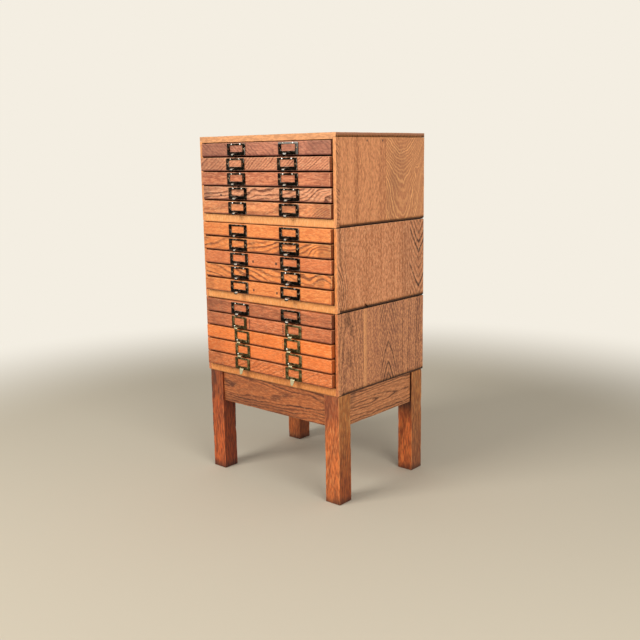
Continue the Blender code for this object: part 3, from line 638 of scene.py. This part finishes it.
# Each front by its drawer's number, from the top
FRONTS = {
    1: dict(tones="plum", staves=[(0, 8, 60, 40, 0, 38, 0.65)], wander=(8, 40, 22), lumps=(15, 3.6), swing=0.6, seed=1,
            marks=((228, 0, 70, 80, 0.28), (-180, 0, 75, 80, 0.22), (-45, 0, 30, 60, 0.1))),
    2: dict(tones="fawn", staves=[(0, 6.8, 200, 90, 0, -36, 0.9)], wander=(12, 150, 60), lumps=(14, 4), seed=2,
            marks=((-200, 0, 60, 80, 0.18), (-30, 0, 44, 80, 0.14))),
    3: dict(tones="red", staves=[(0, 8, 20, 60, 0, 0, 0.3)], wander=(10, 70, 14), lumps=(18, 3.6), swing=0.8, seed=3,
            marks=((222, 0, 40, 80, 0.14),)),
    4: dict(tones="tan", staves=[(0, 8, 30, 20, 3, -3, 1.15)], wander=(12, 80, 30), swells=((228, 2, 92, 46, 33),),
            marks=((-166, -5, 4, 4, 0.9), (-236, 0, 30, 80, 0.35)), seed=4),
    5: dict(tones="amber", staves=[(0, 8, 20, 60, 2, 0, 0.6)], wander=(6, 90, 26), swells=((262, -40, 130, 90, 84),),
            bands=(90, 26, 0.3), marks=((236, 0, 62, 80, 0.34),), seed=5),
    6: dict(tones="orange", staves=[PLAIN], wander=(5, 150, 20), seed=6),
    7: dict(tones="honey", staves=[(0, 13, 60, 26, 4, -12, 1.0)], wander=(12, 80, 30), swells=((210, -2, 60, 28, 30),),
            marks=((-43, 3, 14, 40, 0.25), (52, 0, 12, 30, 0.12), (150, 0, 18, 40, 0.16), (228, -3, 34, 60, 0.34)),
            seed=7),
    8: dict(tones="rust", staves=[PLAIN], wander=(5, 150, 20), seed=8,
            marks=((-43, -4, *ROUND_PLUG), (45, -4, *OVAL_PLUG))),
    9: dict(tones="honey", staves=[(0, 13, 90, 30, 3, 15, 1.15)], wander=(14, 90, 34), swells=((214, 0, 58, 34, 26),),
            marks=((200, -2, 16, 28, 0.3),), seed=9),
    10: dict(tones="orange", staves=[PLAIN], wander=(5, 150, 20), seed=10,
             marks=((-42, -4, *ROUND_PLUG), (47, -4, *ROUND_PLUG), (-234, 0, 36, 80, 0.22))),
    11: dict(tones="russet", staves=[(0, 7, 0, 50, 1, 0, 0.55)], wander=(8, 130, 14), bands=(90, 26, 0.3), seed=11,
             marks=((-225, 0, 90, 80, 0.24), (-34, 0, 38, 60, 0.26), (236, 0, 50, 80, 0.22))),
    12: dict(tones="sienna", staves=[(0, 7, 0, 60, 1, 0, 0.5)], wander=(8, 140, 14), seed=12,
             marks=[(spot, height, 2.6, 2.6, 0.95) for spot in (-61, 68) for height in (-11, -5.5, 0, 5.5, 11)]
             + [(-205, 0, 64, 80, 0.17), (205, 0, 64, 80, 0.14)]),
    13: dict(tones="bright", staves=[PLAIN], wander=(5, 150, 20), seed=13,
             marks=[(66, height, 2.2, 2.2, 0.6) for height in (-9, -3, 3, 9)] + [(-22, 0, 50, 80, 0.12)]),
    14: dict(tones="vivid", staves=[PLAIN], wander=(5, 150, 20), seed=14,
             marks=[(66, height, 2.2, 2.2, 0.7) for height in (-9, -3, 3, 9)] + [(-215, 0, 50, 80, 0.1)]),
    15: dict(tones="ember", staves=[(0, 7.5, 100, 60, 0, -25, 0.6)], wander=(5, 60, 20), lumps=(12, 3.6), seed=15,
             marks=[(66, height, 2.2, 2.2, 0.7) for height in (-9, -3, 3, 9)] + [(-215, 0, 48, 80, 0.22)]),
}
for number in DRAWERS:
    body = "drawer_%02d" % number
    low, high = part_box(body)
    look = dict(FRONTS[number])
    tones = TONES[look.pop("tones")]
    front_high = (high.x, low.y + FRONT, high.z)
    half = (Vector(front_high) - low) / 2
    # The left ends are painted darker, as painted shade where the light falls off along the fronts
    look["marks"] = [*look.get("marks", ()), (-239, 0, 110, 80, 0.12)]
    # The lower 6 mm of each front are painted dark red brown, as painted shade in the gap under it
    front_oak = oak("oiled_oak_front_%02d" % number, "xzy", half, tones, worn=0.6, grime_and_shade=(0.95, 6, "561404"), **look)
    board(body + "_front", low, front_high, body, front_oak, 1.3 * MM, 0.45 * MM, seed=50 + number)


# Pulls
# Each is a cast card frame with a finger tongue at its foot, held by round-headed screws. Those of the upper eleven
# drawers are wide and of blackened bronze. The four lower drawers have narrower ones of brass gone olive with age.

PLATE = 2.4 * MM
BEAD = 0.8 * MM
FRONT_HEIGHT = 36.1 * MM
CARD_LAP, CARD_DEPTH = 2.5 * MM, 1 * MM
TONGUE_HALF, TONGUE_PLATE, TONGUE_CORNER = 8 * MM, 1.4 * MM, 3 * MM


def worn_metal(name, colour, stain_and_shade, rubbed_and_highlight, roughness, fingered=1, thumb=10 * MM, handled_highlight=0.6, upward=0.1, reflection_patch=None):
    """A worn cast metal, dull with a bright edge here and there. Its colour is clouded in patches by a darker colour,
    which is painted thickest along the lower bar as painted shade. It is worn bright on its arrises, painted bright on
    ledges that face up as a painted highlight, and by the handled share made bright where fingers reach it, as wear and
    a painted highlight: further out than fingered, nearer to the middle than thumb, both in metres, and where the
    normal's height is over upward. Past the place given for the painted reflection, across and up, it is painted
    lighter."""
    material = bpy.data.materials.new(name)
    material.use_nodes = True
    tree = material.node_tree
    shader = tree.nodes["Principled BSDF"]
    place = add(tree, "TexCoord", (), "Object")
    spot = add(tree, "SeparateXYZ", (place,)).node.outputs
    normal = add(tree, "TexCoord", (), "Normal")
    up = add(tree, "SeparateXYZ", (normal,), "Z")
    # Each pull is clouded in its own way, in patches of some 8 mm
    chance = add(tree, "Math", (add(tree, "ObjectInfo", (), "Random"), 40), operation="MULTIPLY")
    haze = add(tree, "TexNoise", {"Vector": place, "W": chance, "Scale": 120, "Detail": 2}, noise_dimensions="4D")
    patch = add(tree, "MapRange", (haze, 0.44, 0.62), **SMOOTH)

    # On a rounded arris the normal lies between two axes, so that none of its parts is near 1
    parts = add(tree, "VectorMath", (normal,), operation="ABSOLUTE")
    x, y, z = add(tree, "SeparateXYZ", (parts,)).node.outputs
    most = add(tree, "Math", (add(tree, "Math", (x, y), operation="MAXIMUM"), z), operation="MAXIMUM")
    arris = add(tree, "MapRange", (most, 0.98, 0.8))
    # Faces turned up are painted bright, as a painted highlight where light falls from above
    lit_ledge = add(tree, "MapRange", (up, 0.2, 0.6))
    arris = add(tree, "Math", (arris, lit_ledge), operation="MAXIMUM")
    arris = add(tree, "Math", (arris, patch), operation="MULTIPLY")
    # The far, middle, upturned part of a tongue is bright: wear where fingers rub it, and a painted highlight
    touch_and_highlight = add(tree, "MapRange", (spot["Y"], -fingered, -fingered - 3 * MM))
    aside = add(tree, "Math", (spot["X"],), operation="ABSOLUTE")
    middle = add(tree, "MapRange", (aside, thumb, thumb - 2 * MM, 0, handled_highlight))
    touch_and_highlight = add(tree, "Math", (touch_and_highlight, middle), operation="MULTIPLY")
    crown = add(tree, "MapRange", (up, upward, upward + 0.3))
    touch_and_highlight = add(tree, "Math", (touch_and_highlight, crown), operation="MULTIPLY")
    bright = add(tree, "Math", (arris, touch_and_highlight), operation="MAXIMUM")
    # Painted reflection: past the given place, to the right and above, the frame is painted lighter
    if reflection_patch:
        right = add(tree, "MapRange", (spot["X"], reflection_patch[0], reflection_patch[0] + 2 * MM, 0, 0.15))
        bright = add(tree, "Math", (bright, right), operation="MAXIMUM")
        top = add(tree, "MapRange", (spot["Z"], reflection_patch[1], reflection_patch[1] + 1 * MM, 0, 0.4))
        bright = add(tree, "Math", (bright, top), operation="MAXIMUM")

    # The lower bar takes more of the darker colour, as painted shade; elsewhere the darker colour lies in patches
    clean_and_lit = add(tree, "MapRange", (spot["Z"], -10 * MM, -6 * MM, 0.3, 1))
    clean_and_lit = add(tree, "Math", (clean_and_lit, patch), operation="MULTIPLY")
    tint = add(tree, "Mix", {0: clean_and_lit, 6: linear(stain_and_shade), 7: linear(colour)}, 2, data_type="RGBA")
    tint = add(tree, "Mix", {0: bright, 6: tint, 7: linear(rubbed_and_highlight)}, 2, data_type="RGBA")
    tree.links.new(tint, shader.inputs["Base Color"])
    rough = add(tree, "Math", (haze, 0.25, roughness - 0.1), operation="MULTIPLY_ADD")
    tree.links.new(rough, shader.inputs["Roughness"])
    shader.inputs["Metallic"].default_value = 1
    return material


def outline(width, height, radius, steps):
    """Points of a rectangle with round corners, anticlockwise."""
    points = []
    for corner in range(4):
        middle_x = (width / 2 - radius) * (1 if corner in (0, 3) else -1)
        middle_y = (height / 2 - radius) * (1 if corner in (0, 1) else -1)
        for step in range(steps + 1):
            angle = pi / 2 * (corner + step / steps)
            points.append((middle_x + radius * cos(angle), middle_y + radius * sin(angle)))
    return points


def plate(width, height, side_bar, top_bar, bottom_bar, metal):
    """The frame, from a filled outline with a window, its back on the drawer's face. The card slides in from above,
    in a slot behind the bars."""
    curve = bpy.data.curves.new("frame_outline", "CURVE")
    curve.dimensions = "2D"
    curve.fill_mode = "BOTH"
    curve.extrude = PLATE / 2 - BEAD
    curve.bevel_depth = BEAD
    curve.bevel_resolution = 2
    curve.offset = -BEAD
    half = width / 2 - side_bar
    low, high = bottom_bar - height / 2, height / 2 - top_bar
    for points in (outline(width, height, 2.5 * MM, 5), ((-half, low), (-half, high), (half, high), (half, low))):
        spline = curve.splines.new("POLY")
        spline.points.add(len(points) - 1)
        for point, (x, y) in zip(spline.points, points):
            point.co = (x, y, 0, 1)
        spline.use_cyclic_u = True
    flat = placed("frame_outline", curve)
    bpy.context.view_layer.update()
    mesh = baked(flat)
    bpy.data.objects.remove(flat, do_unlink=True)
    shape = bmesh.new()
    shape.from_mesh(mesh)
    bmesh.ops.remove_doubles(shape, verts=shape.verts, dist=0.02 * MM)
    upright = Matrix.Translation((0, -PLATE / 2, 0)) @ Matrix.Rotation(pi / 2, 4, "X")
    bmesh.ops.transform(shape, matrix=upright, verts=shape.verts)
    bmesh.ops.recalc_face_normals(shape, faces=shape.faces)
    frame_piece = placed("frame", mesh_of("frame", shape, metal))
    slot_half = half + CARD_LAP
    cut(frame_piece, block("card_slot", (-slot_half, -CARD_DEPTH, low - CARD_LAP),
                           (slot_half, CARD_DEPTH, height / 2 + CARD_DEPTH), metal))
    return frame_piece


def tongue(root, straight, radius, turn, tail, taper, metal):
    """A strip of the same metal that leaves the lower bar, bends down, and narrows by the taper to a rounded tip."""
    start, bend, steps = PLATE * 0.4, PLATE + straight, 10
    rows = [(start, root, 0)]
    for step in range(steps + 1):
        angle = turn * step / steps
        rows.append((bend + radius * sin(angle), root - radius * (1 - cos(angle)), bend - start + radius * angle))
    out, height, along = rows[-1]
    for step in range(1, 7):
        run = tail * step / 6
        rows.append((out + run * cos(turn), height - run * sin(turn), along + run))
    length = rows[-1][2]
    shape = bmesh.new()
    verts = []
    for out, height, along in rows:
        corner = max(0, TONGUE_CORNER - (length - along))
        rounding = TONGUE_CORNER - (TONGUE_CORNER ** 2 - corner ** 2) ** 0.5
        half = TONGUE_HALF * (1 - taper * (along / length) ** 1.5) - rounding
        verts.append([shape.verts.new((half * share, -out, height)) for share in (-1, -0.5, 0, 0.5, 1)])
    for near_row, far_row in zip(verts, verts[1:]):
        for i in range(4):
            shape.faces.new((near_row[i], near_row[i + 1], far_row[i + 1], far_row[i]))
    strip = placed("tongue", mesh_of("tongue", shape, metal))
    thick = strip.modifiers.new("thick", "SOLIDIFY")
    thick.thickness = TONGUE_PLATE
    thick.offset = 0
    thick.use_even_offset = True
    round_over = strip.modifiers.new("round_over", "BEVEL")
    round_over.width = 0.3 * MM
    round_over.segments = 2
    round_over.limit_method = "ANGLE"
    return strip


def screw(x, z, radius, rise, metal):
    """A domed screw head with a slot, on the front of a frame."""
    shape = bmesh.new()
    bmesh.ops.create_uvsphere(shape, u_segments=20, v_segments=12, radius=1)
    below = [vert for vert in shape.verts if vert.co.z < -0.01]
    bmesh.ops.delete(shape, geom=below, context="VERTS")
    rim = [edge for edge in shape.edges if edge.is_boundary]
    bmesh.ops.contextual_create(shape, geom=rim)
    lie = Matrix.Translation((x, -PLATE + 0.1 * MM, z)) @ Matrix.Rotation(pi / 2, 4, "X")
    bmesh.ops.transform(shape, matrix=lie @ Matrix.Diagonal((radius, radius, rise, 1)), verts=shape.verts)
    bmesh.ops.recalc_face_normals(shape, faces=shape.faces)
    head = placed("screw", mesh_of("screw", shape, metal))
    slit = 0.35 * MM
    cut(head, block("slit", (x - 2 * radius, -PLATE - rise * 1.5, z - slit),
                    (x + 2 * radius, -PLATE - rise * 0.4, z + slit), metal))
    return head


def pull_mesh(name, size, bend, screws, metal):
    """A whole pull: frame, tongue and screws, its origin at the middle of the frame's back."""
    width, margin, *bars = size
    height = FRONT_HEIGHT - 2 * margin
    whole = plate(width, height, *bars, metal)
    cut(whole, tongue(4.8 * MM - height / 2, *bend, metal), "UNION")
    shape = bmesh.new()
    shape.from_mesh(whole.data)
    metals = (metal, nickel, copper)
    for x, z, radius, rise, head_metal in screws:
        head = screw(x, z, radius, rise, head_metal)
        count = len(shape.faces)
        shape.from_mesh(head.data)
        shape.faces.ensure_lookup_table()
        for face in shape.faces[count:]:
            face.material_index = metals.index(head_metal)
        bpy.data.objects.remove(head, do_unlink=True)
    mesh = mesh_of(name, shape, *metals)
    mesh.shade_smooth()
    mesh.set_sharp_from_angle(angle=radians(35))
    bpy.data.objects.remove(whole, do_unlink=True)
    return mesh


# Nearly black bronze, grey where it is rubbed. On one pull the frame is painted lighter above and to the right, as a
# painted reflection
bronze = worn_metal("blackened_cast_bronze", "362e22", "0c0805", "c4bcb0", 0.42, 11 * MM, 4.6 * MM, handled_highlight=0.85)
reflecting_bronze = worn_metal("blackened_cast_bronze_painted_reflection", "362e22", "0c0805", "c0bcb6", 0.42, 11 * MM, 4.6 * MM,
                         handled_highlight=0.85, reflection_patch=(27 * MM, 11 * MM))
# Olive brown brass, pale yellow where fingers rub it and where it is painted as a highlight, which on the bent tongues
# is nearly all over
olive_brass = worn_metal("aged_cast_brass", "766a46", "40361f", "c2b892", 0.45, 12 * MM, 8 * MM, handled_highlight=0.85)
bent_brass = worn_metal("aged_bent_brass", "776c44", "443a20", "d2caa4", 0.45, 4 * MM, handled_highlight=0.75, upward=-0.9)
# The screws' nickel shines white, and the rivets' copper is a dull brown
nickel = worn_metal("nickelled_screw", "e8e4dc", "c8c0b0", "ffffff", 0.3)
copper = worn_metal("worn_copper_rivet", "94704f", "5c3a24", "c8a888", 0.5)

# The width, the margin above and below on the drawer's front, and the widths of the side, top and bottom bars
WIDE = (70.5 * MM, 1.8 * MM, 10.25 * MM, 5.0 * MM, 9.5 * MM)
NARROW = (58.5 * MM, 1.05 * MM, 9.5 * MM, 5.0 * MM, 9.0 * MM)
# How far a tongue runs straight, the radius and angle of its bend, how far it runs on, and its taper
HOOKED = (8.9 * MM, 5.0 * MM, pi / 2, 2.0 * MM, 0.3)
HANGING = (0.3 * MM, 4.0 * MM, radians(80), 15.0 * MM, 0.55)
# Each head's place across and up, its radius, its rise and its metal
rivets = [(x, 1 * MM, 2.2 * MM, 0.8 * MM, copper) for x in (-30 * MM, 30 * MM)]
bright_screws = [(x, 13.6 * MM, 2.3 * MM, 1.3 * MM, nickel) for x in (-17 * MM, 17 * MM)]
black_screws = [(x, 13.6 * MM, 2.3 * MM, 1.3 * MM, bronze) for x in (-17 * MM, 17 * MM)]
brass_screws = [(-18.5 * MM, -12.2 * MM, 2.6 * MM, 1.5 * MM, nickel),
                (18.5 * MM, -12.2 * MM, 2.4 * MM, 1.5 * MM, olive_brass)]
dull_screws = [(x, -12.2 * MM, 2.4 * MM, 1.5 * MM, bent_brass) for x in (-18.5 * MM, 18.5 * MM)]
PULLS = {
    "dark": pull_mesh("dark_pull", WIDE, HOOKED, bright_screws + rivets, bronze),
    "reflection_patch": pull_mesh("reflecting_pull", WIDE, HOOKED, bright_screws + rivets, reflecting_bronze),
    "black": pull_mesh("black_pull", WIDE, HOOKED, black_screws + rivets, bronze),
    "brass": pull_mesh("brass_pull", NARROW, HOOKED, brass_screws, olive_brass),
    "bent": pull_mesh("bent_pull", NARROW, HANGING, dull_screws, bent_brass),
}
KINDS = {number: "dark" if number < 12 else "brass" if number < 15 else "bent" for number in DRAWERS}
ODD_KINDS = {(1, "right"): "reflection_patch", (5, "right"): "black", (11, "right"): "black"}
ODD_KINDS.update({(number, side): "black" for number in (6, 7, 8, 10) for side in ("left", "right")})
for number in DRAWERS:
    body = "drawer_%02d" % number
    middle = sum(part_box(body), Vector()).z / 2
    for side in ("left", "right"):
        node = body + "_pull_" + side
        low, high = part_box(node)
        kind = ODD_KINDS.get((number, side), KINDS[number])
        pull = placed(node + "_frame", PULLS[kind], ((low.x + high.x) / 2, high.y, middle))
        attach(pull, body)
        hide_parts(node)


# Room
# A pale floor under even studio light, and the camera where the photograph was taken from. The floor is sealed
# concrete, matt and beige, and fades into the white of the room a few steps away from the cabinet.

PAPER_WHITE = linear("f4eee2")


def seen(tree):
    """1 for what the camera sees, directly, mirrored or through glass."""
    rays = add(tree, "LightPath").node.outputs
    total = add(tree, "Math", (rays["Is Camera Ray"], rays["Is Glossy Ray"]), operation="ADD")
    return add(tree, "Math", (total, rays["Is Transmission Ray"]), operation="ADD", use_clamp=True)


concrete = bpy.data.materials.new("pale_sealed_concrete")
concrete.use_nodes = True
tree = concrete.node_tree
matt = tree.nodes["Principled BSDF"]
matt.inputs["Base Color"].default_value = linear("cabfa9")
matt.inputs["Roughness"].default_value = 0.8
distance = add(tree, "VectorMath", (add(tree, "TexCoord", (), "Object"),), "Value", operation="LENGTH")
away = add(tree, "MapRange", (distance, 1.1, 2.4), **SMOOTH)
away = add(tree, "Math", (away, seen(tree)), operation="MULTIPLY")
white = add(tree, "Emission", {"Color": PAPER_WHITE, "Strength": 1})
mixed = add(tree, "MixShader", (away, matt.outputs[0], white))
tree.links.new(mixed, tree.nodes["Material Output"].inputs["Surface"])

shape = bmesh.new()
bmesh.ops.create_grid(shape, x_segments=1, y_segments=1, size=20)
floor = placed("floor", mesh_of("floor", shape, concrete))

world = bpy.data.worlds.new("studio")
world.use_nodes = True
bpy.context.scene.world = world
tree = world.node_tree
soft = tree.nodes["Background"]
soft.inputs["Color"].default_value = (1, 1, 1, 1)
soft.inputs["Strength"].default_value = 0.38
white = add(tree, "Background", {"Color": PAPER_WHITE, "Strength": 1})
mixed = add(tree, "MixShader", (seen(tree), soft.outputs[0], white))
tree.links.new(mixed, tree.nodes["World Output"].inputs["Surface"])


def lamp(name, place, size, power):
    """A square softbox that faces the middle of the cabinet."""
    light = bpy.data.lights.new(name, "AREA")
    light.size = size
    light.energy = power
    rig = placed(name, light, place)
    rig.rotation_euler = (Vector((0, 0, 0.5)) - Vector(place)).to_track_quat("-Z", "Y").to_euler()


# The key stands high at the left of the cabinet's front, and the fill beside the camera
lamp("key_softbox", (-0.8, -3.0, 2.4), 1.6, 83)
lamp("fill_softbox", (2.9, -1.2, 1.8), 1.8, 58)

# The camera's place is measured from the cabinet's front left corner on the floor, and its focal length in pixels of
# the photograph, which is 640 wide
FOCAL_PIXELS, PHOTO_WIDTH = 847.34, 640
yaw, pitch, roll = radians(41.221), radians(11.063), radians(-0.930)
camera = placed("camera", bpy.data.cameras.new("camera"))
camera.data.sensor_width = 36
camera.data.lens = FOCAL_PIXELS * 36 / PHOTO_WIDTH
turn = Matrix.Rotation(yaw, 4, "Z") @ Matrix.Rotation(pi / 2 - pitch, 4, "X") @ Matrix.Rotation(roll, 4, "Z")
camera.matrix_world = Matrix.Translation((1.87255 - CASE_HALF, -1.63134 + CASE_FRONT, 0.92564)) @ turn
bpy.context.scene.camera = camera
bpy.context.scene.view_settings.view_transform = "Standard"
